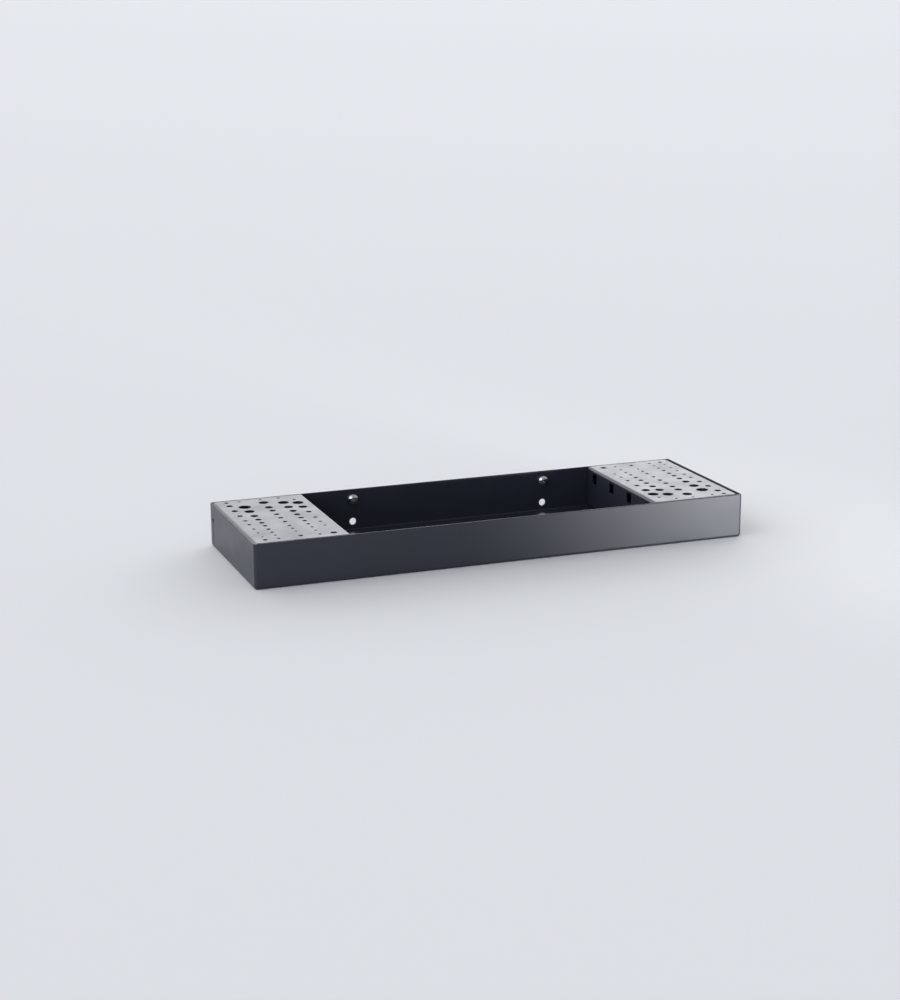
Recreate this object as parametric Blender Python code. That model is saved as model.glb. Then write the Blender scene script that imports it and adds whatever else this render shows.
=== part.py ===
"""A pegboard shelf: a folded steel tray screwed to a perforated wall, with a lift-out drill rack at each end.

X runs along the shelf, +Y points to the wall and +Z is up. The origin is the middle of the rear face.
"""

import math

import bmesh
import bpy
from mathutils import Matrix, Vector

# Driving dimensions of the shelf, in metres
SHELF_WIDTH = 0.458
SHELF_DEPTH = 0.150
SHELF_HEIGHT = 0.040
SHEET = 0.0015
INSIDE_BEND = 0.0010

# The wall's grid of square holes, and the sheet that the screws clamp
GRID_PITCH = 0.038
GRID_HOLE = 0.010
WALL_SHEET = 0.0020

# Gaps between pieces; each rack lies against the left end of its side play
SEAT_GAP = 0.0003
RACK_SIDE_CLEARANCE = 0.0010
RACK_END_CLEARANCE = 0.0010

# The rear panel: its returns, its weld seam and its holes
RETURN_DEPTH = 0.0055
OPEN_SEAM = 0.0008
SEAM_LIFT = 0.0030
SEAM_DROP = 0.0140
RELIEF_HOLE = 0.0026
SCREW_HOLE = 0.0055
SPARE_HOLE = 0.0065
SCREW_PITCHES = 5
SCREW_DROP = 0.00925

# A drill rack: the folded section and its holes
RACK_WIDTH = 0.084
RACK_BEND = 0.0010
RACK_FOOT = 0.007
RACK_GRID_HOLES = 4
RACK_GRID_DROP = 0.0090
LARGEST_DRILL_HOLE = 0.011

# Each row of drill holes: its place across the rack from the outer side, then each hole's place
# from the rear and its size, as shares of the rack's width, its length and the largest hole
DRILL_ROW_SHARES = (
    (
        0.135,
        (
            (0.040, 0.36),
            (0.122, 0.55),
            (0.249, 0.52),
            (0.372, 0.45),
            (0.492, 0.36),
            (0.584, 0.32),
            (0.688, 0.27),
            (0.780, 0.23),
            (0.872, 0.18),
            (0.941, 0.36),
        ),
    ),
    (
        0.275,
        (
            (0.040, 0.25),
            (0.178, 1.00),
            (0.289, 0.82),
            (0.402, 0.64),
            (0.492, 0.50),
            (0.570, 0.45),
            (0.642, 0.38),
            (0.720, 0.35),
            (0.795, 0.29),
            (0.864, 0.23),
            (0.937, 0.27),
        ),
    ),
    (
        0.512,
        (
            (0.034, 0.25),
            (0.114, 0.82),
            (0.236, 0.64),
            (0.320, 0.50),
            (0.412, 0.45),
            (0.500, 0.41),
            (0.592, 0.36),
            (0.688, 0.32),
            (0.755, 0.27),
            (0.822, 0.23),
            (0.926, 0.36),
        ),
    ),
    (
        0.710,
        (
            (0.038, 0.25),
            (0.155, 0.91),
            (0.272, 0.73),
            (0.370, 0.59),
            (0.459, 0.50),
            (0.541, 0.44),
            (0.617, 0.38),
            (0.693, 0.33),
            (0.769, 0.27),
            (0.845, 0.23),
            (0.934, 0.27),
        ),
    ),
    (
        0.855,
        (
            (0.106, 0.27),
            (0.190, 0.91),
            (0.297, 0.73),
            (0.424, 0.45),
            (0.560, 0.36),
            (0.662, 0.27),
            (0.755, 0.24),
            (0.934, 0.53),
        ),
    ),
)

# Pan head screw, large washer and hexagon nut of the M5 size
SCREW_SHANK = 0.0050
SCREW_LENGTH = 0.0120
SCREW_HEAD = 0.0095
SCREW_HEAD_HEIGHT = 0.0037
SCREW_HEAD_RIM = 0.0018
SCREW_POINT = 0.0006
RECESS_SPAN = 0.0046
RECESS_WING = 0.0011
RECESS_DEPTH = 0.0022
WASHER_WIDTH = 0.0150
WASHER_THICKNESS = 0.0012
NUT_ACROSS_FLATS = 0.0080
NUT_HEIGHT = 0.0040
NUT_CHAMFER = 0.0005

# How finely round shapes are cut, and how far a cutter runs past what it cuts
BEND_SEGMENTS = 4
HOLE_SEGMENTS = 16
FASTENER_SEGMENTS = 24
HEX_SIDES = 6
DOME_STEPS = 5
CUTTER_OVERRUN = 0.0010
MERGE_DISTANCE = 0.000001
SHARP_ANGLE = math.radians(35)


def clear_scene():
    for old in list(bpy.data.objects):
        bpy.data.objects.remove(old)


def make_material(name, colour, roughness, metallic):
    material = bpy.data.materials.new(name)
    material.use_nodes = True
    shader = material.node_tree.nodes["Principled BSDF"]
    shader.inputs["Base Color"].default_value = (*colour, 1.0)
    shader.inputs["Roughness"].default_value = roughness
    shader.inputs["Metallic"].default_value = metallic
    material.diffuse_color = (*colour, 1.0)
    return material


def mesh_from(name, bm):
    bmesh.ops.recalc_face_normals(bm, faces=bm.faces)
    mesh = bpy.data.meshes.new(name)
    bm.to_mesh(mesh)
    bm.free()
    return mesh


def add_object(name, mesh, material=None):
    made = bpy.data.objects.new(name, mesh)
    bpy.context.scene.collection.objects.link(made)
    if material and not mesh.materials:
        mesh.materials.append(material)
    return made


def shade_round(mesh):
    mesh.shade_smooth()
    mesh.set_sharp_from_angle(angle=SHARP_ANGLE)


def hide_cutter(cutter):
    cutter.hide_render = True
    cutter.display_type = "WIRE"


def add_boolean(target, cutter, operation="DIFFERENCE"):
    boolean = target.modifiers.new(cutter.name, "BOOLEAN")
    boolean.operation = operation
    boolean.solver = "EXACT"
    boolean.object = cutter
    hide_cutter(cutter)


def add_box(bm, low, high):
    """A box between two corners; returns its corner points."""
    low, high = Vector(low), Vector(high)
    made = bmesh.ops.create_cube(bm, size=1.0)
    size = high - low
    bmesh.ops.scale(bm, vec=size, verts=made["verts"])
    bmesh.ops.translate(bm, vec=(low + high) / 2, verts=made["verts"])
    return made["verts"]


def add_cylinder(bm, centre, diameter, length, axis, segments):
    """A cylinder with its middle at centre, along a world axis."""
    turn = Vector((0, 0, 1)).rotation_difference(Vector(axis)).to_matrix().to_4x4()
    bmesh.ops.create_cone(
        bm,
        cap_ends=True,
        segments=segments,
        radius1=diameter / 2,
        radius2=diameter / 2,
        depth=length,
        matrix=Matrix.Translation(centre) @ turn,
    )


# The tray and the rear panel are two shallow pans of the same folded sheet, face to face
OUTSIDE_BEND = INSIDE_BEND + SHEET
FLOOR_TOP = SHEET - SHELF_HEIGHT / 2
RIM = SHELF_HEIGHT / 2
SCREW_RISE = RIM - SCREW_DROP
TRAY_END = -(RETURN_DEPTH + SEAT_GAP)


def add_pan_block(bm, closed_end, open_end, inset, radius):
    """One solid of a pan, its bottom edges and the upright edges of its closed end rounded."""
    half_width = SHELF_WIDTH / 2 - inset
    top = RIM + (CUTTER_OVERRUN if inset else 0)
    bottom = inset - SHELF_HEIGHT / 2
    low = (-half_width, min(closed_end, open_end), bottom)
    high = (half_width, max(closed_end, open_end), top)
    corners = add_box(bm, low, high)
    edges = {edge for corner in corners for edge in corner.link_edges}

    def is_bend(edge):
        ends = [corner.co for corner in edge.verts]
        at_bottom = all(abs(point.z - bottom) < MERGE_DISTANCE for point in ends)
        at_closed_end = all(abs(point.y - closed_end) < MERGE_DISTANCE for point in ends)
        at_open_end = all(abs(point.y - open_end) < MERGE_DISTANCE for point in ends)
        upright = abs(ends[0].z - ends[1].z) > MERGE_DISTANCE
        return (at_bottom and not at_open_end) or (upright and at_closed_end)

    bmesh.ops.bevel(
        bm,
        geom=[edge for edge in edges if is_bend(edge)],
        offset=radius,
        offset_type="OFFSET",
        segments=BEND_SEGMENTS,
        profile=0.5,
        affect="EDGES",
    )


def make_pan(name, closed_end, open_end, material):
    """A folded pan with its floor at the bottom, open at the top and at one end."""
    inward = math.copysign(SHEET, open_end - closed_end)
    past = math.copysign(CUTTER_OVERRUN, open_end - closed_end)
    outer = bmesh.new()
    add_pan_block(outer, closed_end, open_end, 0, OUTSIDE_BEND)
    inner = bmesh.new()
    add_pan_block(inner, closed_end + inward, open_end + past, SHEET, INSIDE_BEND)
    pan = add_object(name, mesh_from(name, outer), material)
    shade_round(pan.data)
    cutter = add_object(name + "_inside", mesh_from(name + "_inside", inner))
    add_boolean(pan, cutter)
    return pan


def make_seam_cutter():
    """The part of the side seams that is left open, which ends in a relief hole."""
    bm = bmesh.new()
    reach = SHELF_WIDTH / 2 + CUTTER_OVERRUN
    seam_middle = -(RETURN_DEPTH + SEAT_GAP / 2)
    seam_top = RIM - SEAM_DROP
    add_box(
        bm,
        (-reach, seam_middle - OPEN_SEAM / 2, FLOOR_TOP - SHEET + SEAM_LIFT),
        (reach, seam_middle + OPEN_SEAM / 2, seam_top),
    )
    slot = add_object("seam_slot", mesh_from("seam_slot", bm))
    hide_cutter(slot)
    bm = bmesh.new()
    add_cylinder(bm, (0, seam_middle, seam_top), RELIEF_HOLE, 2 * reach, (1, 0, 0), HOLE_SEGMENTS)
    relief = add_object("seam_relief", mesh_from("seam_relief", bm))
    hide_cutter(relief)
    return slot, relief


def screw_places():
    """The middle of each screw hole, left and right."""
    half_span = SCREW_PITCHES * GRID_PITCH / 2
    return {"left": -half_span, "right": half_span}


def make_rear_holes():
    bm = bmesh.new()
    depth = SHEET + 2 * CUTTER_OVERRUN
    for place in screw_places().values():
        middle = -SHEET / 2
        add_cylinder(bm, (place, middle, SCREW_RISE), SCREW_HOLE, depth, (0, 1, 0), HOLE_SEGMENTS)
        add_cylinder(bm, (place, middle, -SCREW_RISE), SPARE_HOLE, depth, (0, 1, 0), HOLE_SEGMENTS)
    return add_object("rear_holes", mesh_from("rear_holes", bm))


def make_shell(material):
    tray = make_pan("tray", -SHELF_DEPTH, TRAY_END, material)
    rear_panel = make_pan("rear_panel", 0, -RETURN_DEPTH, material)
    slot, relief = make_seam_cutter()
    for pan in (tray, rear_panel):
        add_boolean(pan, slot)
        add_boolean(pan, relief)
    add_boolean(rear_panel, make_rear_holes())


# A drill rack is one folded strip: inner foot, inner wall, top plate, outer wall, outer foot
RACK_LENGTH = SHELF_DEPTH - 2 * SHEET - 2 * RACK_END_CLEARANCE
RACK_SEAT = FLOOR_TOP + SEAT_GAP
RACK_HEIGHT = RIM - RACK_SEAT
RACK_PUSH = RACK_SIDE_CLEARANCE - SEAT_GAP


def folded_outline(corners, sheet, inside_bend):
    """The outline of a sheet folded at right angles. The corners lie on the middle of the sheet."""
    radius = inside_bend + sheet / 2
    samples = []
    directions = [(b - a).normalized() for a, b in zip(corners, corners[1:])]
    left_of = [Vector((-d.y, d.x)) for d in directions]
    samples.append((corners[0], left_of[0]))
    for index in range(1, len(corners) - 1):
        before, after = directions[index - 1], directions[index]
        centre = corners[index] + (after - before) * radius
        start = corners[index] - before * radius - centre
        end = corners[index] + after * radius - centre
        side = math.copysign(1, before.x * after.y - before.y * after.x)
        for step in range(BEND_SEGMENTS + 1):
            angle = step / BEND_SEGMENTS * math.pi / 2
            spoke = start * math.cos(angle) + end * math.sin(angle)
            samples.append((centre + spoke, spoke.normalized() * -side))
    samples.append((corners[-1], left_of[-1]))
    outer = [point + normal * sheet / 2 for point, normal in samples]
    inner = [point - normal * sheet / 2 for point, normal in reversed(samples)]
    return outer + inner


def rack_section():
    """The corners of the rack's folded strip in X and Z, seen along the rack, from its own seat."""
    wall = (RACK_WIDTH - SHEET) / 2
    foot_end = RACK_WIDTH / 2 - RACK_FOOT
    bottom = SHEET / 2
    top = RACK_HEIGHT - SHEET / 2
    return [
        Vector((foot_end, bottom)),
        Vector((wall, bottom)),
        Vector((wall, top)),
        Vector((-wall, top)),
        Vector((-wall, bottom)),
        Vector((-foot_end, bottom)),
    ]


def make_drill_holes():
    bm = bmesh.new()
    depth = SHEET + 2 * CUTTER_OVERRUN
    for across_share, holes in DRILL_ROW_SHARES:
        for along_share, size_share in holes:
            x = (across_share - 0.5) * RACK_WIDTH
            y = (0.5 - along_share) * RACK_LENGTH
            centre = (x, y, RACK_HEIGHT - SHEET / 2)
            add_cylinder(bm, centre, size_share * LARGEST_DRILL_HOLE, depth, (0, 0, 1), HOLE_SEGMENTS)
    return add_object("drill_holes", mesh_from("drill_holes", bm))


def make_grid_holes():
    """The square holes of the inner wall, on the wall grid's own pitch."""
    bm = bmesh.new()
    middle = RIM - RACK_GRID_DROP - RACK_SEAT
    wall_face = RACK_WIDTH / 2
    for index in range(RACK_GRID_HOLES):
        y = (index - (RACK_GRID_HOLES - 1) / 2) * GRID_PITCH
        low = (wall_face - SHEET - CUTTER_OVERRUN, y - GRID_HOLE / 2, middle - GRID_HOLE / 2)
        high = (wall_face + CUTTER_OVERRUN, y + GRID_HOLE / 2, middle + GRID_HOLE / 2)
        add_box(bm, low, high)
    return add_object("grid_holes", mesh_from("grid_holes", bm))


def make_rack_mesh():
    bm = bmesh.new()
    outline = folded_outline(rack_section(), SHEET, RACK_BEND)
    corners = [bm.verts.new((point.x, -RACK_LENGTH / 2, point.y)) for point in outline]
    end = bm.faces.new(corners)
    grown = bmesh.ops.extrude_face_region(bm, geom=[end])
    moved = [item for item in grown["geom"] if isinstance(item, bmesh.types.BMVert)]
    bmesh.ops.translate(bm, vec=(0, RACK_LENGTH, 0), verts=moved)
    mesh = mesh_from("drill_rack", bm)
    shade_round(mesh)
    return mesh


def make_racks(material):
    """Two racks of one mesh, the right one turned half a turn."""
    mesh = make_rack_mesh()
    reach = SHELF_WIDTH / 2 - SHEET - RACK_SIDE_CLEARANCE - RACK_WIDTH / 2
    for name, side, turn in (("left_drill_rack", -1, 0), ("right_drill_rack", 1, math.pi)):
        rack = add_object(name, mesh, material)
        drill_holes = make_drill_holes()
        grid_holes = make_grid_holes()
        for placed in (rack, drill_holes, grid_holes):
            placed.location = (side * reach - RACK_PUSH, -SHELF_DEPTH / 2, RACK_SEAT)
            placed.rotation_euler = (0, 0, turn)
        add_boolean(rack, drill_holes)
        add_boolean(rack, grid_holes)


# Fasteners are turned about their own Z axis, which points out of the wall
TOWARDS_FRONT = (math.pi / 2, 0, 0)
THREAD_BORE = SCREW_SHANK + 2 * SEAT_GAP
NUT_ACROSS_CORNERS = NUT_ACROSS_FLATS / math.cos(math.pi / HEX_SIDES)
PANEL_FRONT = -(SHEET + SEAT_GAP)
WASHER_BACK = WALL_SHEET + SEAT_GAP + WASHER_THICKNESS
NUT_BACK = WASHER_BACK + SEAT_GAP + NUT_HEIGHT


def turned_mesh(name, profile, closed=False):
    """A profile of (radius, height) points, turned about Z; closed joins its last point to its first."""
    bm = bmesh.new()
    points = [bm.verts.new((radius, 0, height)) for radius, height in profile]
    pairs = list(zip(points, points[1:]))
    if closed:
        pairs.append((points[-1], points[0]))
    edges = [bm.edges.new(pair) for pair in pairs]
    bmesh.ops.spin(
        bm,
        geom=points + edges,
        axis=(0, 0, 1),
        cent=(0, 0, 0),
        angle=2 * math.pi,
        steps=FASTENER_SEGMENTS,
        use_merge=True,
    )
    bmesh.ops.remove_doubles(bm, verts=bm.verts, dist=MERGE_DISTANCE)
    mesh = mesh_from(name, bm)
    shade_round(mesh)
    return mesh


def screw_profile():
    """From the middle of the domed head, down its rim and shank, to the point."""
    head = SCREW_HEAD / 2
    shank = SCREW_SHANK / 2
    rise = SCREW_HEAD_HEIGHT - SCREW_HEAD_RIM
    dome = []
    for step in range(DOME_STEPS + 1):
        angle = step / DOME_STEPS * math.pi / 2
        dome.append((head * math.sin(angle), SCREW_HEAD_RIM + rise * math.cos(angle)))
    rim = [(head, 0), (shank, 0)]
    point = [
        (shank, SCREW_POINT - SCREW_LENGTH),
        (shank - SCREW_POINT, -SCREW_LENGTH),
        (0, -SCREW_LENGTH),
    ]
    return dome + rim + point


def make_recess():
    """The cross recess: two crossed wings whose ends slope inwards to the bottom."""
    half_span, half_wing = RECESS_SPAN / 2, RECESS_WING / 2
    bottom = SCREW_HEAD_HEIGHT - RECESS_DEPTH
    top = SCREW_HEAD_HEIGHT + CUTTER_OVERRUN
    wings = []
    for name, half_x, half_y in (
        ("recess_across", half_span, half_wing),
        ("recess_upright", half_wing, half_span),
    ):
        bm = bmesh.new()
        corners = add_box(bm, (-half_x, -half_y, bottom), (half_x, half_y, top))
        for corner in corners:
            if corner.co.z < bottom + MERGE_DISTANCE:
                corner.co.x = math.copysign(min(half_x, RECESS_WING), corner.co.x)
                corner.co.y = math.copysign(min(half_y, RECESS_WING), corner.co.y)
        wings.append(add_object(name, mesh_from(name, bm)))
    add_boolean(wings[0], wings[1], "UNION")
    hide_cutter(wings[0])
    return wings


def make_hexagon():
    bm = bmesh.new()
    add_cylinder(bm, (0, 0, NUT_HEIGHT / 2), NUT_ACROSS_CORNERS, NUT_HEIGHT, (0, 0, 1), HEX_SIDES)
    return mesh_from("hexagon", bm)


def nut_barrel_profile():
    """The chamfered barrel, with the bore, that trims a hexagon to a nut."""
    bore = THREAD_BORE / 2
    face = NUT_ACROSS_FLATS / 2
    corner = NUT_ACROSS_CORNERS / 2
    widest = corner + CUTTER_OVERRUN
    slope = NUT_CHAMFER * (widest - face) / (corner - face)
    return [
        (bore, -CUTTER_OVERRUN),
        (face, -CUTTER_OVERRUN),
        (face, 0),
        (widest, slope),
        (widest, NUT_HEIGHT - slope),
        (face, NUT_HEIGHT),
        (face, NUT_HEIGHT + CUTTER_OVERRUN),
        (bore, NUT_HEIGHT + CUTTER_OVERRUN),
    ]


def washer_profile():
    outer = WASHER_WIDTH / 2
    bore = THREAD_BORE / 2
    return [
        (bore, 0),
        (outer, 0),
        (outer, WASHER_THICKNESS),
        (bore, WASHER_THICKNESS),
    ]


def make_fasteners(material):
    screw_mesh = turned_mesh("pan_head_screw", screw_profile())
    washer_mesh = turned_mesh("large_washer", washer_profile(), closed=True)
    barrel_mesh = turned_mesh("nut_barrel", nut_barrel_profile(), closed=True)
    hexagon_mesh = make_hexagon()
    for side, place in screw_places().items():
        screw = add_object(side + "_screw", screw_mesh, material)
        recess, upright = make_recess()
        washer = add_object(side + "_washer", washer_mesh, material)
        nut = add_object(side + "_nut", hexagon_mesh, material)
        barrel = add_object(side + "_nut_barrel", barrel_mesh)
        heights = (
            (screw, PANEL_FRONT),
            (recess, PANEL_FRONT),
            (upright, PANEL_FRONT),
            (washer, WASHER_BACK),
            (nut, NUT_BACK),
            (barrel, NUT_BACK),
        )
        for placed, y in heights:
            placed.location = (place, y, SCREW_RISE)
            placed.rotation_euler = TOWARDS_FRONT
        add_boolean(screw, recess)
        add_boolean(nut, barrel, "INTERSECT")


def main():
    clear_scene()
    powder_coat = make_material("anthracite_powder_coat", (0.045, 0.050, 0.060), 0.35, 0.0)
    zinc = make_material("bright_zinc", (0.72, 0.72, 0.74), 0.28, 1.0)
    make_shell(powder_coat)
    make_racks(powder_coat)
    make_fasteners(zinc)


main()
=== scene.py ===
"""The pegboard shelf as it leaves the paint shop: folded powder-coated sheet with bright zinc fasteners."""

import math

import bmesh
import bpy
from mathutils import Matrix, Quaternion, Vector, noise


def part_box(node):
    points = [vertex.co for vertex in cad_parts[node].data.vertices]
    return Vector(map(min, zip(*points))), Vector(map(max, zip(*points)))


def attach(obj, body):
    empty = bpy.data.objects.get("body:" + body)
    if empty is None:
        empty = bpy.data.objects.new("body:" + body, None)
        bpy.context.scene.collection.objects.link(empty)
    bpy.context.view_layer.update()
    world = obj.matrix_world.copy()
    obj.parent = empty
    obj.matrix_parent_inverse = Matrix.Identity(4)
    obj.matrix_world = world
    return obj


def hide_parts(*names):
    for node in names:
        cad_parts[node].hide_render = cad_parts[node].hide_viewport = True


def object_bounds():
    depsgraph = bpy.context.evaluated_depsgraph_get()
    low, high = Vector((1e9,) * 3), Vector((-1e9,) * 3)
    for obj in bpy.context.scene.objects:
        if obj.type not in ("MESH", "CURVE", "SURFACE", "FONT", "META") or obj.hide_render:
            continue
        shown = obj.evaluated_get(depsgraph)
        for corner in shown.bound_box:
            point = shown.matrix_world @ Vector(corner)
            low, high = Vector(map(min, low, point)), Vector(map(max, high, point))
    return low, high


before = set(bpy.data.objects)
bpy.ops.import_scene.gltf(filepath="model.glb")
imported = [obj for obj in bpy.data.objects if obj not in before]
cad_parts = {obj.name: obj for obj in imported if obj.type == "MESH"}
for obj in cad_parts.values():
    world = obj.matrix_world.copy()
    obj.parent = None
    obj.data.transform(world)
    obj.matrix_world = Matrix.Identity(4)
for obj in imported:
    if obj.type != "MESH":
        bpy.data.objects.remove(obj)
cad_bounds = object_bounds()


# Rear panel
# A shallow pan of 1.5 mm cold rolled steel that closes the tray at the wall. It is laser cut, folded on a
# press brake with 1 mm inside bends, punched for two M5 screws and coated with the tray in one go.

# Sizes are in metres, and heights count from the middle of the wall face
sheet = 0.0015
inside_bend = 0.0010
bend_steps = 10
screw_hole = 0.0055
spare_hole = 0.0065
round_hole_sides = 48
punch_travel = 4 * sheet
grid_pitch = 0.038
grid_steps_between_screws = 5
screw_reach = grid_steps_between_screws * grid_pitch / 2
screw_rise = 0.01075

# The seam to the tray lies where the photograph has it, further from the wall than in the solids. The outline
# of the two pans together is that of the solids.
seam_from_wall = 0.0105
seam_gap = 0.0003
open_seam = 0.0012
relief_hole = 0.0036
seam_bottom = -0.0170
seam_top = 0.0060

# Sheared edges: the rims are dressed to a round lip, the others are only as round as the coat makes them
sharp_angle = math.radians(40)
coat_edge_radius = 0.00008
coat_edge_steps = 3
rim_radius = 0.00060
rim_steps = 6

# Points nearer to each other than this are one point, and cutters reach past the sheet by the overrun
near = 0.000001
cutter_overrun = 0.0010

# The coat's patterns: how wide each is and, where it is relief, how deep
cloud_width = 0.060
gloss_patch_width = 0.022
peel_width, peel_depth = 0.0030, 0.000012
wave_width, wave_depth = 0.090, 0.00022
coat_ior = 1.48

# Nearly all of a noise pattern lies between these two values
noise_low, noise_high = 0.3, 0.7


def linear(hex_colour):
    """An sRGB hex value as the linear colour of a shader socket."""
    channels = [int(hex_colour[start:start + 2], 16) / 255 for start in (1, 3, 5)]
    return tuple(c / 12.92 if c <= 0.04045 else ((c + 0.055) / 1.055) ** 2.4 for c in channels) + (1.0,)


def add_node(tree, kind, inputs=None, **settings):
    """Adds a node, sets its properties, and gives each named or numbered input a value or a link."""
    made = tree.nodes.new(kind)
    for name, value in settings.items():
        setattr(made, name, value)
    for name, value in (inputs or {}).items():
        if isinstance(value, bpy.types.NodeSocket):
            tree.links.new(value, made.inputs[name])
        else:
            made.inputs[name].default_value = value
    return made


def new_material(name):
    """A material without nodes; returns it with its tree and the socket of a point's place on the object."""
    material = bpy.data.materials.new(name)
    material.use_nodes = True
    tree = material.node_tree
    tree.nodes.clear()
    return material, tree, add_node(tree, "ShaderNodeTexCoord").outputs["Object"]


def powder_coat(name, dark, light, roughness_low, roughness_high):
    """Polyester powder, cured at 190 C. It flows to a satin skin with a faint orange peel over the whole
    sheet, and the sheet under it is never quite flat, so long reflections bend a little."""
    material, tree, place = new_material(name)

    # Pigment: two close shades in clouds, where the powder lies thicker or thinner
    clouds = add_node(tree, "ShaderNodeTexNoise", {"Vector": place, "Scale": 1 / cloud_width, "Detail": 3.0})
    shade = add_node(
        tree,
        "ShaderNodeMix",
        {0: clouds.outputs["Fac"], 6: linear(dark), 7: linear(light)},
        data_type="RGBA",
    )

    # Gloss: patches that are a little more or less satin
    patches = add_node(
        tree, "ShaderNodeTexNoise", {"Vector": place, "Scale": 1 / gloss_patch_width, "Detail": 4.0}
    )
    gloss = add_node(
        tree,
        "ShaderNodeMapRange",
        {
            "Value": patches.outputs["Fac"],
            "From Min": noise_low,
            "From Max": noise_high,
            "To Min": roughness_low,
            "To Max": roughness_high,
        },
    )

    # Height in metres: the orange peel, on the sheet's own long waves
    peel = add_node(tree, "ShaderNodeTexNoise", {"Vector": place, "Scale": 1 / peel_width, "Detail": 1.0})
    waves = add_node(tree, "ShaderNodeTexNoise", {"Vector": place, "Scale": 1 / wave_width, "Detail": 0.0})
    peel_height = add_node(
        tree, "ShaderNodeMath", {0: peel.outputs["Fac"], 1: peel_depth}, operation="MULTIPLY"
    )
    height = add_node(
        tree,
        "ShaderNodeMath",
        {0: waves.outputs["Fac"], 1: wave_depth, 2: peel_height.outputs["Value"]},
        operation="MULTIPLY_ADD",
    )
    bump = add_node(
        tree, "ShaderNodeBump", {"Height": height.outputs["Value"], "Strength": 1.0, "Distance": 1.0}
    )
    skin = add_node(
        tree,
        "ShaderNodeBsdfPrincipled",
        {
            "Base Color": shade.outputs[2],
            "Roughness": gloss.outputs["Result"],
            "Metallic": 0.0,
            "IOR": coat_ior,
            "Normal": bump.outputs["Normal"],
        },
    )
    add_node(tree, "ShaderNodeOutputMaterial", {"Surface": skin.outputs["BSDF"]})
    return material


coat = powder_coat("anthracite_polyester_powder_coat", "#1F232E", "#252935", 0.33, 0.40)
# Powder draws back from a sheared edge as it melts, so its skin there is thin and matt
coat_edge = powder_coat("anthracite_powder_coat_on_sheared_edge", "#20242E", "#262A35", 0.50, 0.60)


def finish_with(piece, *materials):
    """Gives a piece these materials and no others."""
    piece.data.materials.clear()
    for material in materials:
        piece.data.materials.append(material)
    return piece


def add_piece(name, mesh, *materials):
    """An object at the origin with its materials."""
    made = bpy.data.objects.new(name, mesh)
    bpy.context.scene.collection.objects.link(made)
    return finish_with(made, *materials)


def settle(piece):
    """Turns what the modifiers make into the piece's own plain mesh."""
    graph = bpy.context.evaluated_depsgraph_get()
    mesh = bpy.data.meshes.new_from_object(piece.evaluated_get(graph), depsgraph=graph)
    piece.modifiers.clear()
    piece.data = mesh
    return piece


def cut(piece, *cutters):
    """Takes the cutters out of a piece and throws them away."""
    for cutter in cutters:
        saw = piece.modifiers.new("cut", "BOOLEAN")
        saw.operation = "DIFFERENCE"
        saw.solver = "EXACT"
        saw.object = cutter
    settle(piece)
    for cutter in cutters:
        bpy.data.objects.remove(cutter)
    return piece


def round_edges(piece, radius, steps, edge_slot, lip_radius=None):
    """Rounds every sharp edge, and those along the top by the lip's radius where there is a lip. The flat
    faces keep their own shading."""
    widest = lip_radius or radius
    bm = bmesh.new()
    bm.from_mesh(piece.data)
    share = bm.edges.layers.float.new("bevel_weight_edge")
    top = max(corner.co.z for corner in bm.verts)
    for edge in bm.edges:
        if edge.calc_face_angle(0.0) > sharp_angle:
            on_lip = all(top - corner.co.z < near for corner in edge.verts)
            edge[share] = 1.0 if on_lip else radius / widest
    bm.to_mesh(piece.data)
    bm.free()
    bevel = piece.modifiers.new("round", "BEVEL")
    bevel.width = widest
    bevel.segments = steps
    bevel.limit_method = "WEIGHT"
    # A lip keeps its radius. Without one, the width gives way where edges lie close together.
    bevel.use_clamp_overlap = lip_radius is None
    bevel.loop_slide = False
    bevel.material = edge_slot
    settle(piece)
    piece.data.shade_smooth()
    shading = piece.modifiers.new("shading", "WEIGHTED_NORMAL")
    shading.mode = "FACE_AREA"
    shading.weight = 100
    return settle(piece)


def block(low, high):
    """A box between two corners."""
    bm = bmesh.new()
    bmesh.ops.create_cube(bm, size=1.0)
    bmesh.ops.scale(bm, vec=high - low, verts=bm.verts)
    bmesh.ops.translate(bm, vec=(low + high) / 2, verts=bm.verts)
    return bm


def mesh_of(name, bm):
    """A mesh of what was built, with its faces turned outwards."""
    bmesh.ops.recalc_face_normals(bm, faces=bm.faces)
    mesh = bpy.data.meshes.new(name)
    bm.to_mesh(mesh)
    bm.free()
    return mesh


def folded_block(low, high, closed_end, radius):
    """A block with press brake bends along its bottom and up the corners of its closed end."""
    bm = block(low, high)
    bends = []
    for edge in bm.edges:
        a, b = (corner.co for corner in edge.verts)
        at_bottom = abs(a.z - low.z) < near and abs(b.z - low.z) < near
        at_closed_end = abs(a.y - closed_end) < near and abs(b.y - closed_end) < near
        at_open_end = abs(a.y - b.y) < near and not at_closed_end
        upright = abs(a.z - b.z) > near
        if (at_bottom and not at_open_end) or (upright and at_closed_end):
            bends.append(edge)
    bmesh.ops.bevel(
        bm,
        geom=bends,
        offset=radius,
        offset_type="OFFSET",
        segments=bend_steps,
        profile=0.5,
        affect="EDGES",
    )
    return bm


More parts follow.
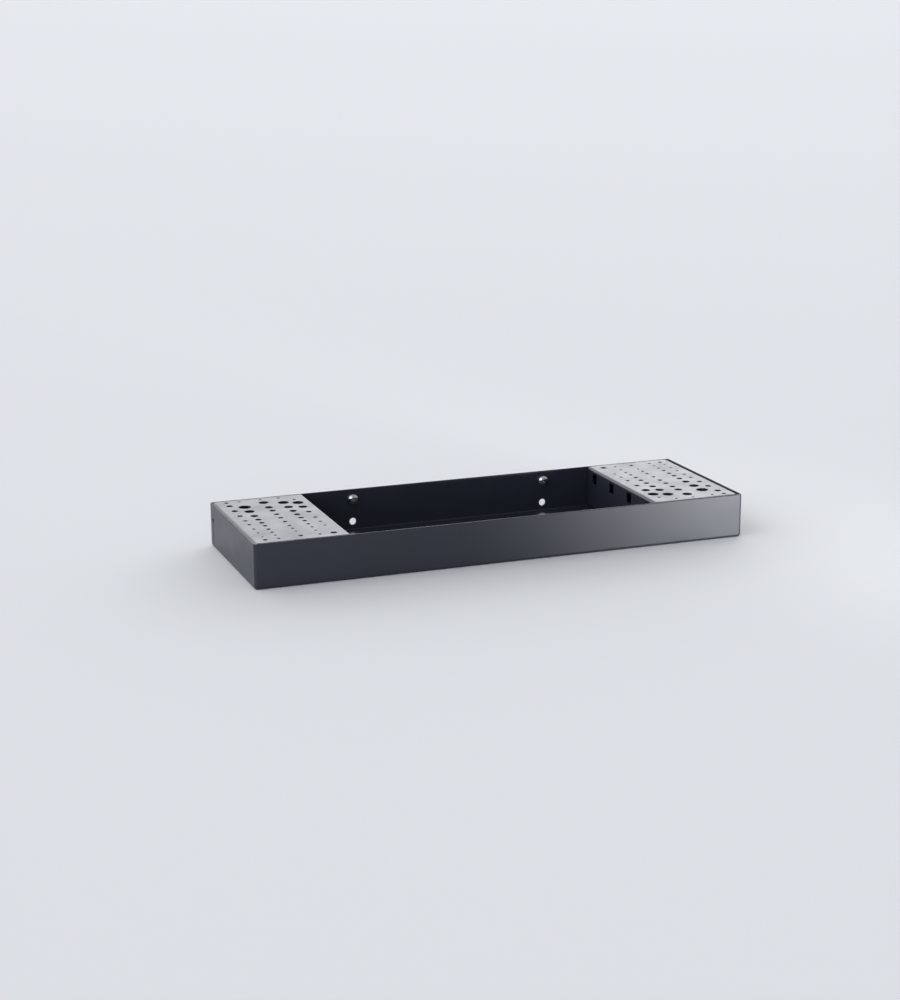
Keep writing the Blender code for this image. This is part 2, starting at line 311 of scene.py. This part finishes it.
def folded_pan(name, node, closed_at_rear):
    """The pan of a CAD node: a floor and three walls. It is open at the top and at the side seams, where it
    ends half the seam's gap from the seam's middle."""
    low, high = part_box(node)
    closed_end = high.y if closed_at_rear else low.y
    open_end = math.copysign(seam_gap / 2, closed_end + seam_from_wall) - seam_from_wall
    low.y, high.y = min(closed_end, open_end), max(closed_end, open_end)
    inward = math.copysign(1.0, open_end - closed_end)
    inner_closed = closed_end + inward * sheet
    inner_open = open_end + inward * cutter_overrun
    inner_low = Vector((low.x + sheet, min(inner_closed, inner_open), low.z + sheet))
    inner_high = Vector((high.x - sheet, max(inner_closed, inner_open), high.z + cutter_overrun))
    outside = folded_block(low, high, closed_end, inside_bend + sheet)
    inside = folded_block(inner_low, inner_high, inner_closed, inside_bend)
    pan = add_piece(name, mesh_of(name, outside), coat, coat_edge)
    return cut(pan, add_piece("inside", mesh_of("inside", inside)))


def seam_cutters():
    """The lower part of each side seam is left open and ends in a round relief hole."""
    middle = -seam_from_wall
    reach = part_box("tray")[1].x + cutter_overrun
    slot = block(
        Vector((-reach, middle - open_seam / 2, seam_bottom)),
        Vector((reach, middle + open_seam / 2, seam_top)),
    )
    relief = bmesh.new()
    bmesh.ops.create_cone(
        relief,
        cap_ends=True,
        segments=round_hole_sides,
        radius1=relief_hole / 2,
        radius2=relief_hole / 2,
        depth=2 * reach,
        matrix=Matrix.Translation((0, middle, seam_top)) @ Matrix.Rotation(math.pi / 2, 4, "Y"),
    )
    return add_piece("slot", mesh_of("slot", slot)), add_piece("relief", mesh_of("relief", relief))


def new_tree(name, **inputs):
    """An empty geometry tree with named inputs; returns it with the sockets of its inputs."""
    tree = bpy.data.node_groups.new(name, "GeometryNodeTree")
    tree.interface.new_socket(name="Geometry", in_out="OUTPUT", socket_type="NodeSocketGeometry")
    tree.interface.new_socket(name="Geometry", in_out="INPUT", socket_type="NodeSocketGeometry")
    for label, kind in inputs.items():
        tree.interface.new_socket(name=label, in_out="INPUT", socket_type="NodeSocket" + kind)
    return tree, tree.nodes.new("NodeGroupInput").outputs


def end_tree(tree, geometry, finish):
    """Gives out the geometry with its instances made real, in one finish."""
    whole = add_node(tree, "GeometryNodeRealizeInstances", {"Geometry": geometry})
    finished = add_node(
        tree, "GeometryNodeSetMaterial", {"Geometry": whole.outputs["Geometry"], "Material": finish}
    )
    add_node(tree, "NodeGroupOutput", {"Geometry": finished.outputs["Geometry"]})


def grow(piece, tree, **values):
    """Runs a geometry tree on a piece with the given inputs, and keeps the plain mesh."""
    modifier = piece.modifiers.new(tree.name, "NODES")
    modifier.node_group = tree
    for item in tree.interface.items_tree:
        if item.in_out == "INPUT" and item.name in values:
            modifier[item.identifier] = values[item.name]
    return settle(piece)


# The punch: a tool of so many sides stands on each point, as wide as that point says, and the blank loses
# what the tools pass through
punch, given = new_tree(
    "punch", Blank="Object", Sides="Int", Depth="Float", Turn="Vector", Finish="Material"
)
blank = add_node(punch, "GeometryNodeObjectInfo", {"Object": given["Blank"]})
width = add_node(punch, "GeometryNodeInputNamedAttribute", {"Name": "hole_width"}, data_type="FLOAT")
wide = add_node(
    punch,
    "ShaderNodeCombineXYZ",
    {"X": width.outputs["Attribute"], "Y": width.outputs["Attribute"], "Z": 1.0},
)
tool = add_node(
    punch,
    "GeometryNodeMeshCylinder",
    {"Vertices": given["Sides"], "Radius": 0.5, "Depth": given["Depth"]},
    fill_type="NGON",
)
turn = add_node(punch, "FunctionNodeEulerToRotation", {"Euler": given["Turn"]})
tools = add_node(
    punch,
    "GeometryNodeInstanceOnPoints",
    {
        "Points": given["Geometry"],
        "Instance": tool.outputs["Mesh"],
        "Rotation": turn.outputs["Rotation"],
        "Scale": wide.outputs["Vector"],
    },
)
steel = add_node(punch, "GeometryNodeRealizeInstances", {"Geometry": tools.outputs["Instances"]})
punched = add_node(
    punch,
    "GeometryNodeMeshBoolean",
    {"Mesh 1": blank.outputs["Geometry"], "Mesh 2": steel.outputs["Geometry"]},
    operation="DIFFERENCE",
    solver="EXACT",
)
end_tree(punch, punched.outputs["Mesh"], given["Finish"])


def punch_holes(flat, holes, sides, turned):
    """Punches a sheet at pairs of place and width, with tools turned to stand across it."""
    name = flat.name
    flat.name = name + "_blank"
    points = bpy.data.meshes.new(name)
    points.from_pydata([place for place, _ in holes], [], [])
    widths = points.attributes.new("hole_width", "FLOAT", "POINT")
    widths.data.foreach_set("value", [width for _, width in holes])
    made = add_piece(name, points)
    grow(made, punch, Blank=flat, Sides=sides, Depth=punch_travel, Turn=turned, Finish=coat)
    bpy.data.objects.remove(flat)
    return finish_with(made, coat, coat_edge)


rear_panel = cut(folded_pan("rear_panel_sheet", "rear_panel", closed_at_rear=True), *seam_cutters())
rear_holes = []
for side in (-1, 1):
    rear_holes.append((Vector((side * screw_reach, -sheet / 2, screw_rise)), screw_hole))
    rear_holes.append((Vector((side * screw_reach, -sheet / 2, -screw_rise)), spare_hole))
rear_panel = punch_holes(rear_panel, rear_holes, round_hole_sides, (math.pi / 2, 0, 0))
round_edges(rear_panel, coat_edge_radius, rim_steps, edge_slot=1, lip_radius=rim_radius)
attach(rear_panel, "tray")
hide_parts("rear_panel")


# Tray
# One blank of the same sheet, folded up into a plain front, two sides and a floor. The corners are welded
# and dressed round before the coat, so the bends run on unbroken from the front into the sides.

tray = cut(folded_pan("tray_sheet", "tray", closed_at_rear=False), *seam_cutters())
round_edges(tray, coat_edge_radius, rim_steps, edge_slot=1, lip_radius=rim_radius)
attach(tray, "tray")
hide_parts("tray")


# Side seam welds
# Above the relief holes each side seam is closed by a weld, ground flush and coated with the rest. What is
# left of it is a slight crown, some hundredths of a millimetre high, that only a raking light shows.

weld_width = 0.0014
weld_crown = 0.00004
weld_ripple = 0.00003
weld_sink = 0.00006
weld_rows = 30
weld_columns = 12
weld_sharp_angle = math.radians(50)

# The bead's section is a box with drawn-in flanks, and the larger this is, the squarer it is
weld_squareness = 3


def weld_mesh(side):
    """A closed bead through the sheet that stands a little proud of both its faces, and follows the lip of
    the rim at its top."""
    tray_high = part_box("tray")[1]
    middle_x = side * (tray_high.x - sheet / 2)
    middle_y = -seam_from_wall
    bottom = seam_top + relief_hole / 2
    lip = tray_high.z + weld_crown / 2 - rim_radius
    levels = [(bottom + (lip - bottom) * row / weld_rows, 0.0) for row in range(weld_rows)]
    for step in range(rim_steps + 1):
        angle = math.pi / 2 * step / rim_steps
        levels.append((lip + rim_radius * math.sin(angle), rim_radius * (1 - math.cos(angle))))
    bm = bmesh.new()
    rings = []
    for z, drawn_in in levels:
        ring = []
        for column in range(2 * weld_columns):
            angle = math.pi * column / weld_columns
            across = math.cos(angle)
            swell = 1 - across * across
            ripple = weld_ripple * noise.noise(Vector((across, side, z / weld_width)))
            crown = swell * (weld_crown + weld_sink + ripple) - weld_sink
            face = math.copysign(min(1.0, weld_squareness * abs(math.sin(angle))), math.sin(angle))
            half = sheet / 2 + crown - drawn_in
            place = (middle_x + face * half, middle_y + across * weld_width / 2, z)
            ring.append(bm.verts.new(place))
        rings.append(ring)
    for lower, upper in zip(rings, rings[1:]):
        for index in range(len(lower)):
            after = (index + 1) % len(lower)
            bm.faces.new((lower[index], lower[after], upper[after], upper[index]))
    bm.faces.new(rings[0])
    bm.faces.new(rings[-1])
    return bm


for side, label in ((-1, "left"), (1, "right")):
    weld = add_piece(label + "_seam_weld", mesh_of(label + "_seam_weld", weld_mesh(side)), coat)
    weld.data.shade_smooth()
    weld.data.set_sharp_from_angle(angle=weld_sharp_angle)
    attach(weld, "tray")


# Drill racks
# Each rack is one strip of the same sheet: a foot, a wall, the top plate, a wall and a foot, folded over 1 mm
# bends. The plate is punched in five graded rows for drill shanks, the inner wall with the wall's own grid.

rack_foot = 0.007
grid_hole = 0.010
grid_hole_count = 4
grid_hole_drop = 0.0090
square_hole_sides = 4
largest_drill_hole = 0.011

# Each row: its place across the plate from the outer side, then place from the rear and size of each hole,
# as shares of the plate's width, its length and the largest hole
drill_row_shares = (
    (
        0.135, (0.040, 0.36), (0.122, 0.55), (0.249, 0.52), (0.372, 0.45), (0.492, 0.36),
        (0.584, 0.32), (0.688, 0.27), (0.780, 0.23), (0.872, 0.18), (0.941, 0.36),
    ),
    (
        0.275, (0.040, 0.25), (0.178, 1.00), (0.289, 0.82), (0.402, 0.64), (0.492, 0.50), (0.570, 0.45),
        (0.642, 0.38), (0.720, 0.35), (0.795, 0.29), (0.864, 0.23), (0.937, 0.27),
    ),
    (
        0.512, (0.034, 0.25), (0.114, 0.82), (0.236, 0.64), (0.320, 0.50), (0.412, 0.45), (0.500, 0.41),
        (0.592, 0.36), (0.688, 0.32), (0.755, 0.27), (0.822, 0.23), (0.926, 0.36),
    ),
    (
        0.710, (0.038, 0.25), (0.155, 0.91), (0.272, 0.73), (0.370, 0.59), (0.459, 0.50), (0.541, 0.44),
        (0.617, 0.38), (0.693, 0.33), (0.769, 0.27), (0.845, 0.23), (0.934, 0.27),
    ),
    (
        0.855, (0.106, 0.27), (0.190, 0.91), (0.297, 0.73), (0.424, 0.45), (0.560, 0.36),
        (0.662, 0.27), (0.755, 0.24), (0.934, 0.53),
    ),
)

# The press brake: the fold line's corners are filleted to the sheet's middle radius, and the sheet's own
# section, as long as the rack, is swept along it
fold, given = new_tree(
    "fold", Length="Float", Thickness="Float", Radius="Float", Steps="Int", Finish="Material"
)
fold_line = add_node(fold, "GeometryNodeMeshToCurve", {"Mesh": given["Geometry"]})
bends = add_node(
    fold,
    "GeometryNodeFilletCurve",
    {"Curve": fold_line.outputs["Curve"], "Count": given["Steps"], "Radius": given["Radius"]},
    mode="POLY",
)
section = add_node(
    fold, "GeometryNodeCurvePrimitiveQuadrilateral", {"Width": given["Length"], "Height": given["Thickness"]}
)
strip = add_node(
    fold,
    "GeometryNodeCurveToMesh",
    {"Curve": bends.outputs["Curve"], "Profile Curve": section.outputs["Curve"], "Fill Caps": True},
)
end_tree(fold, strip.outputs["Mesh"], given["Finish"])


def folded_rack(name, size):
    """One rack, standing on the middle of its seat with its outer side towards -X and its rear towards +Y."""
    wall = (size.x - sheet) / 2
    foot_end = size.x / 2 - rack_foot
    bottom, top = sheet / 2, size.z - sheet / 2
    half_line = [(foot_end, bottom), (wall, bottom), (wall, top)]
    corners = half_line + [(-x, z) for x, z in reversed(half_line)]
    line = bpy.data.meshes.new(name)
    line.from_pydata([(x, 0, z) for x, z in corners], [(i, i + 1) for i in range(len(corners) - 1)], [])
    rack = add_piece(name, line)
    middle_radius = inside_bend + sheet / 2
    grow(
        rack,
        fold,
        Length=size.y,
        Thickness=sheet,
        Radius=middle_radius,
        Steps=bend_steps - 1,
        Finish=coat,
    )
    drill_holes = []
    for across, *holes in drill_row_shares:
        for along, share in holes:
            place = Vector(((across - 0.5) * size.x, (0.5 - along) * size.y, top))
            drill_holes.append((place, share * largest_drill_hole))
    rack = punch_holes(rack, drill_holes, round_hole_sides, (0, 0, 0))

    # A square tool is as wide as the circle round its corners
    grid_holes = []
    for index in range(grid_hole_count):
        y = (index - (grid_hole_count - 1) / 2) * grid_pitch
        grid_holes.append((Vector((wall, y, size.z - grid_hole_drop)), grid_hole * math.sqrt(2)))
    rack = punch_holes(rack, grid_holes, square_hole_sides, (math.pi / 2, math.pi / 4, math.pi / 2))
    return round_edges(rack, coat_edge_radius, coat_edge_steps, edge_slot=1)


for label, turned in (("left", 0.0), ("right", math.pi)):
    low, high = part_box(label + "_drill_rack")
    rack = folded_rack(label + "_rack_folded_sheet", high - low)
    seat = Vector(((low.x + high.x) / 2, (low.y + high.y) / 2, low.z))
    rack.data.transform(Matrix.Translation(seat) @ Matrix.Rotation(turned, 4, "Z"))
    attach(rack, label + "_rack")
    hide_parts(label + "_drill_rack")


# Screws
# Two M5 x 12 pan head machine screws with a cross recess, cold headed, thread rolled and bright zinc plated.
# They go through the rear panel and the wall's own sheet, and their heads bear on the panel.

screw_head = 0.0095
screw_head_height = 0.0037
screw_head_rim = 0.0018
screw_shank = 0.0050
screw_length = 0.0120
thread_pitch = 0.0008
thread_depth = 0.00045
thread_lead_in = 0.0006
thread_neck = 0.2 * thread_pitch
recess_span = 0.0046
recess_wing = 0.0011
recess_floor_wing = 0.0008
recess_depth = 0.0022
metal_edge_radius = 0.00012
metal_edge_steps = 2
screw_sharp_angle = math.radians(35)
lathe_steps = 64
dome_steps = 14
seat_gap = 0.0003
screw_turn_seed = 3

# A turn of the thread, in shares of the pitch: the crest's start and end, then the root's
crest_start, crest_end, root_start, root_end = 0.0, 0.125, 0.4375, 0.6875

# The plating's patterns. The grain is drawn 0.5 mm wide, because the real 0.05 mm wouldn't show.
stain_width = 0.004
grain_width, grain_depth = 0.0005, 0.000004


def zinc_plate(name, cool, warm, roughness_low, roughness_high):
    """Bright zinc from a plating bath with a clear passivate: a mirror-like metal, slightly blue, that turns
    a little yellow where the passivate is thicker, with fine drawing marks that blur what it reflects."""
    material, tree, place = new_material(name)

    # Passivate: tints in small stains
    stains = add_node(tree, "ShaderNodeTexNoise", {"Vector": place, "Scale": 1 / stain_width, "Detail": 2.0})
    tint = add_node(
        tree,
        "ShaderNodeMix",
        {0: stains.outputs["Fac"], 6: linear(cool), 7: linear(warm)},
        data_type="RGBA",
    )

    # Grain: it changes both the gloss and the height
    grain = add_node(tree, "ShaderNodeTexNoise", {"Vector": place, "Scale": 1 / grain_width, "Detail": 3.0})
    gloss = add_node(
        tree,
        "ShaderNodeMapRange",
        {
            "Value": grain.outputs["Fac"],
            "From Min": noise_low,
            "From Max": noise_high,
            "To Min": roughness_low,
            "To Max": roughness_high,
        },
    )
    bump = add_node(
        tree, "ShaderNodeBump", {"Height": grain.outputs["Fac"], "Strength": 1.0, "Distance": grain_depth}
    )
    plate = add_node(
        tree,
        "ShaderNodeBsdfPrincipled",
        {
            "Base Color": tint.outputs[2],
            "Metallic": 1.0,
            "Roughness": gloss.outputs["Result"],
            "Normal": bump.outputs["Normal"],
        },
    )
    add_node(tree, "ShaderNodeOutputMaterial", {"Surface": plate.outputs["BSDF"]})
    return material


zinc = zinc_plate("bright_zinc_plated_steel", "#C6CBD2", "#D3D1C9", 0.10, 0.20)

# The fitter: a fastener is repeated along the row of screw holes, faces the front, and stops at a chance
# turn of its own
fit, given = new_tree(
    "fit",
    Count="Int",
    First="Vector",
    Step="Vector",
    Turn="Vector",
    LargestTurn="Float",
    Seed="Int",
    Finish="Material",
)
row = add_node(
    fit,
    "GeometryNodeMeshLine",
    {"Count": given["Count"], "Start Location": given["First"], "Offset": given["Step"]},
)
facing = add_node(fit, "FunctionNodeEulerToRotation", {"Euler": given["Turn"]})
fitted = add_node(
    fit,
    "GeometryNodeInstanceOnPoints",
    {"Points": row.outputs["Mesh"], "Instance": given["Geometry"], "Rotation": facing.outputs["Rotation"]},
)
chance = add_node(
    fit,
    "FunctionNodeRandomValue",
    {2: 0.0, 3: given["LargestTurn"], 8: given["Seed"]},
    data_type="FLOAT",
)
about_axis = add_node(fit, "ShaderNodeCombineXYZ", {"X": 0.0, "Y": 0.0, "Z": chance.outputs[1]})
stop = add_node(fit, "FunctionNodeEulerToRotation", {"Euler": about_axis.outputs["Vector"]})
tightened = add_node(
    fit,
    "GeometryNodeRotateInstances",
    {"Instances": fitted.outputs["Instances"], "Rotation": stop.outputs["Rotation"], "Local Space": True},
)
end_tree(fit, tightened.outputs["Instances"], given["Finish"])


def lathe(profile, closed):
    """Turns a profile of (radius, height) points about Z."""
    bm = bmesh.new()
    points = [bm.verts.new((radius, 0, height)) for radius, height in profile]
    pairs = list(zip(points, points[1:]))
    if closed:
        pairs.append((points[-1], points[0]))
    edges = [bm.edges.new(pair) for pair in pairs]
    bmesh.ops.spin(
        bm,
        geom=points + edges,
        axis=(0, 0, 1),
        cent=(0, 0, 0),
        angle=2 * math.pi,
        steps=lathe_steps,
        use_merge=True,
    )
    bmesh.ops.remove_doubles(bm, verts=bm.verts, dist=near)
    return bm


def recess_wing_block(half_x, half_y):
    """One wing of the cross recess, with ends that slope in to the bottom."""
    bottom = screw_head_height - recess_depth
    top = screw_head_height + cutter_overrun
    bm = block(Vector((-half_x, -half_y, bottom)), Vector((half_x, half_y, top)))
    for corner in bm.verts:
        if corner.co.z < bottom + near:
            corner.co.x = math.copysign(min(half_x, recess_floor_wing), corner.co.x)
            corner.co.y = math.copysign(min(half_y, recess_floor_wing), corner.co.y)
    return bm


def threaded_shank():
    """A rolled thread: rows of points run round as a helix, so the crest is one unbroken line."""
    crest = screw_shank / 2
    root = crest - thread_depth
    phases = ((crest_start, crest), (crest_end, crest), (root_start, root), (root_end, root))
    top, tip = -thread_neck, -screw_length
    turns = math.ceil((screw_length + 2 * thread_pitch) / thread_pitch)
    bm = bmesh.new()
    rows = []
    for turn_index in range(turns + 1):
        for phase, radius in phases:
            points = []
            for step in range(lathe_steps + 1):
                z = thread_pitch - (turn_index + phase + step / lathe_steps) * thread_pitch
                z = min(max(z, tip), top)
                reach = crest if z == top else min(radius, crest - thread_lead_in + (z - tip))
                angle = 2 * math.pi * step / lathe_steps
                points.append(bm.verts.new((reach * math.cos(angle), reach * math.sin(angle), z)))
            rows.append(points)
    for upper, lower in zip(rows, rows[1:]):
        for step in range(lathe_steps):
            bm.faces.new((upper[step], lower[step], lower[step + 1], upper[step + 1]))
    bmesh.ops.remove_doubles(bm, verts=bm.verts, dist=near)
    bmesh.ops.dissolve_degenerate(bm, dist=near / 10, edges=bm.edges)
    bmesh.ops.holes_fill(bm, edges=[edge for edge in bm.edges if edge.is_boundary], sides=0)
    return bm


def break_edges(blank):
    """Takes the sharpness off a metal blank, and leaves only its mesh."""
    round_edges(blank, metal_edge_radius, metal_edge_steps, edge_slot=0)
    mesh = blank.data
    bpy.data.objects.remove(blank)
    return mesh


def fit_fasteners(name, mesh, seat_y, seed, *replaced):
    """Fits a fastener in both screw holes. Its own Z points to the front."""
    made = add_piece(name, mesh, zinc)
    grow(
        made,
        fit,
        Count=2,
        First=(-screw_reach, seat_y, screw_rise),
        Step=(2 * screw_reach, 0, 0),
        Turn=(math.pi / 2, 0, 0),
        LargestTurn=math.pi / 2,
        Seed=seed,
        Finish=zinc,
    )
    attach(made, "tray")
    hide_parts(*replaced)


dome_rise = screw_head_height - screw_head_rim
dome_angles = [step / dome_steps * math.pi / 2 for step in range(dome_steps + 1)]
head_profile = [
    (screw_head / 2 * math.sin(angle), screw_head_rim + dome_rise * math.cos(angle)) for angle in dome_angles
]
head_profile += [(screw_head / 2, 0), (0, 0)]
head = add_piece("head", mesh_of("head", lathe(head_profile, closed=False)), zinc)
half_span, half_wing = recess_span / 2, recess_wing / 2
cut(
    head,
    add_piece("wing", mesh_of("wing", recess_wing_block(half_span, half_wing))),
    add_piece("cross_wing", mesh_of("cross_wing", recess_wing_block(half_wing, half_span))),
)
screw = bmesh.new()
screw.from_mesh(break_edges(head))
screw.from_mesh(mesh_of("shank", threaded_shank()))
screw_mesh = mesh_of("pan_head_screw", screw)
screw_mesh.shade_smooth()
screw_mesh.set_sharp_from_angle(angle=screw_sharp_angle)
head_seat = -(sheet + seat_gap)
fit_fasteners("pan_head_screws", screw_mesh, head_seat, screw_turn_seed, "left_screw", "right_screw")


# Washers
# Two large washers, 15 mm wide, stamped from 1.2 mm strip and zinc plated. They lie behind the wall's sheet
# and bridge its 10 mm square holes, which an M5 nut alone would slip into.

washer_width = 0.0150
washer_thickness = 0.0012
bore = 0.0056
washer_turn_seed = 5

washer_profile = [
    (bore / 2, 0),
    (washer_width / 2, 0),
    (washer_width / 2, washer_thickness),
    (bore / 2, washer_thickness),
]
washer = add_piece("washer", mesh_of("washer", lathe(washer_profile, closed=True)), zinc)
washer_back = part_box("left_washer")[1].y
fit_fasteners(
    "large_washers", break_edges(washer), washer_back, washer_turn_seed, "left_washer", "right_washer"
)


# Nuts
# Two M5 hexagon nuts, hot forged, chamfered on both faces and zinc plated. They are turned on from behind
# until the washers, the wall and the rear panel are clamped.

nut_across_flats = 0.0080
nut_height = 0.0040
nut_face_share = 0.95
nut_chamfer_slope = math.tan(math.radians(30))
nut_countersink = 0.0004
nut_sides = 6
steps_a_side = 12
nut_turn_seed = 8


def nut_mesh():
    """Rings of points at each angle; the chamfer's cone leaves an arc on each flat."""
    flat = nut_across_flats / 2
    face = flat * nut_face_share
    count = nut_sides * steps_a_side
    bm = bmesh.new()
    columns = []
    for step in range(count):
        angle = 2 * math.pi * step / count
        from_flat = (step % steps_a_side / steps_a_side - 0.5) * 2 * math.pi / nut_sides
        rim = flat / math.cos(from_flat)
        drop = (rim - face) * nut_chamfer_slope
        profile = (
            (bore / 2, nut_countersink),
            (bore / 2 + nut_countersink, 0),
            (face, 0),
            (rim, drop),
            (rim, nut_height - drop),
            (face, nut_height),
            (bore / 2 + nut_countersink, nut_height),
            (bore / 2, nut_height - nut_countersink),
        )
        columns.append(
            [bm.verts.new((radius * math.cos(angle), radius * math.sin(angle), z)) for radius, z in profile]
        )
    for column, after in zip(columns, columns[1:] + columns[:1]):
        for index in range(len(column)):
            up = (index + 1) % len(column)
            bm.faces.new((column[index], after[index], after[up], column[up]))
    return bm


nut = add_piece("nut", mesh_of("nut", nut_mesh()), zinc)
nut_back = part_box("left_nut")[1].y
fit_fasteners("hexagon_nuts", break_edges(nut), nut_back, nut_turn_seed, "left_nut", "right_nut")


# Studio
# The shelf stands on a wide sheet of pale paper in a light room. Tall windows behind it give the top faces
# their sheen, one in front lights the screws, one stands on the left, and a low softbox with a grid picks out
# the right end of the front. None of it is object.

floor_reach = 40.0
floor_height = cad_bounds[0].z
paper_colour = "#EAEBED"
paper_roughness = 0.9

floor_corners = [
    (x * floor_reach, y * floor_reach, floor_height) for x, y in ((-1, -1), (1, -1), (1, 1), (-1, 1))
]
floor_mesh = bpy.data.meshes.new("studio_floor")
floor_mesh.from_pydata(floor_corners, [], [(0, 1, 2, 3)])
paper = bpy.data.materials.new("pale_background_paper")
paper.use_nodes = True
paper_skin = paper.node_tree.nodes["Principled BSDF"]
paper_skin.inputs["Base Color"].default_value = linear(paper_colour)
paper_skin.inputs["Roughness"].default_value = paper_roughness
add_piece("studio_floor", floor_mesh, paper)

# Each window: the way to its middle, its strength, and the cosines at which it ends and from which it is even
rear_window = (0.34, 0.94, 0.0), 2.7, 0.00, 0.80
right_window = (0.64, 0.77, 0.0), 1.3, 0.75, 0.985
front_window = (-0.35, -0.92, 0.16), 2.6, 0.92, 0.98
left_window = (-0.90, -0.05, 0.42), 1.4, 0.60, 0.95

# The windows at the rear fade out between these two heights, as the Z of a direction
rear_window_full_height, rear_window_top = 0.30, 0.62
room_strength = 0.47
daylight = "#EEF0F4"
backdrop_colour = "#E6E8EC"
backdrop_strength = 1.0

world = bpy.data.worlds.new("studio_world")
bpy.context.scene.world = world
world.use_nodes = True
room = world.node_tree
room.nodes.clear()
direction = add_node(room, "ShaderNodeTexCoord").outputs["Generated"]
direction_parts = add_node(room, "ShaderNodeSeparateXYZ", {"Vector": direction})


def glow(way, brightness, edge, middle):
    """Light from far off in one direction, even near its middle and gone at its edge."""
    towards = add_node(
        room, "ShaderNodeVectorMath", {0: direction, 1: Vector(way).normalized()}, operation="DOT_PRODUCT"
    )
    patch = add_node(
        room,
        "ShaderNodeMapRange",
        {
            "Value": towards.outputs["Value"],
            "From Min": edge,
            "From Max": middle,
            "To Min": 0.0,
            "To Max": brightness,
        },
        interpolation_type="SMOOTHSTEP",
    )
    return patch.outputs["Result"]


rear_windows = add_node(
    room, "ShaderNodeMath", {0: glow(*rear_window), 1: glow(*right_window)}, operation="ADD"
)
below_top = add_node(
    room,
    "ShaderNodeMapRange",
    {
        "Value": direction_parts.outputs["Z"],
        "From Min": rear_window_full_height,
        "From Max": rear_window_top,
        "To Min": rear_windows.outputs["Value"],
        "To Max": 0.0,
    },
    interpolation_type="SMOOTHSTEP",
)
strength = glow(*front_window)
for part in (glow(*left_window), below_top.outputs["Result"], room_strength):
    strength = add_node(room, "ShaderNodeMath", {0: strength, 1: part}, operation="ADD").outputs["Value"]
light = add_node(room, "ShaderNodeBackground", {"Color": linear(daylight), "Strength": strength})
shown = add_node(
    room, "ShaderNodeBackground", {"Color": linear(backdrop_colour), "Strength": backdrop_strength}
)
ray = add_node(room, "ShaderNodeLightPath")
mixed = add_node(
    room,
    "ShaderNodeMixShader",
    {0: ray.outputs["Is Camera Ray"], 1: light.outputs["Background"], 2: shown.outputs["Background"]},
)
add_node(room, "ShaderNodeOutputWorld", {"Surface": mixed.outputs["Shader"]})

# The softbox: a lamp behind a diffuser and a grid. The camera doesn't see it, but the coat mirrors it.
softbox_place = Vector((0.66, -1.20, 0.012))
softbox_aim = Vector((0.31, -0.15, 0.008))
softbox_width, softbox_height = 0.25, 0.05
softbox_watts = 0.57
softbox_spread = math.radians(23)

lamp = bpy.data.lights.new("low_right_softbox", "AREA")
lamp.shape = "RECTANGLE"
lamp.size = softbox_width
lamp.size_y = softbox_height
lamp.energy = softbox_watts
lamp.spread = softbox_spread
softbox = bpy.data.objects.new("low_right_softbox", lamp)
bpy.context.scene.collection.objects.link(softbox)
softbox.location = softbox_place
softbox.rotation_mode = "QUATERNION"
softbox.rotation_quaternion = (softbox_aim - softbox_place).to_track_quat("-Z", "Y")
softbox.visible_camera = False

# The camera stands where the photograph's viewpoint was worked out, from the left and a little above. Its
# sensor's size and focal length are in millimetres, and the size counts along the frame's longer side.
azimuth, elevation, roll = math.radians(-20.445), math.radians(14.612), math.radians(-0.30)
target = Vector((-0.02646, -0.07500, 0.02084))
distance = 1.8207
sensor_size, focal_length = 36.0, 72.9
backwards = Vector(
    (math.sin(azimuth) * math.cos(elevation), -math.cos(azimuth) * math.cos(elevation), math.sin(elevation))
)
lens = bpy.data.cameras.new("camera")
lens.sensor_width = sensor_size
lens.lens = focal_length
lens.clip_end = 2 * floor_reach
camera = bpy.data.objects.new("camera", lens)
bpy.context.scene.collection.objects.link(camera)
camera.location = target + backwards * distance
camera.rotation_mode = "QUATERNION"
camera.rotation_quaternion = (-backwards).to_track_quat("-Z", "Y") @ Quaternion((0, 0, 1), roll)
bpy.context.scene.camera = camera

bpy.context.scene.view_settings.view_transform = "Standard"
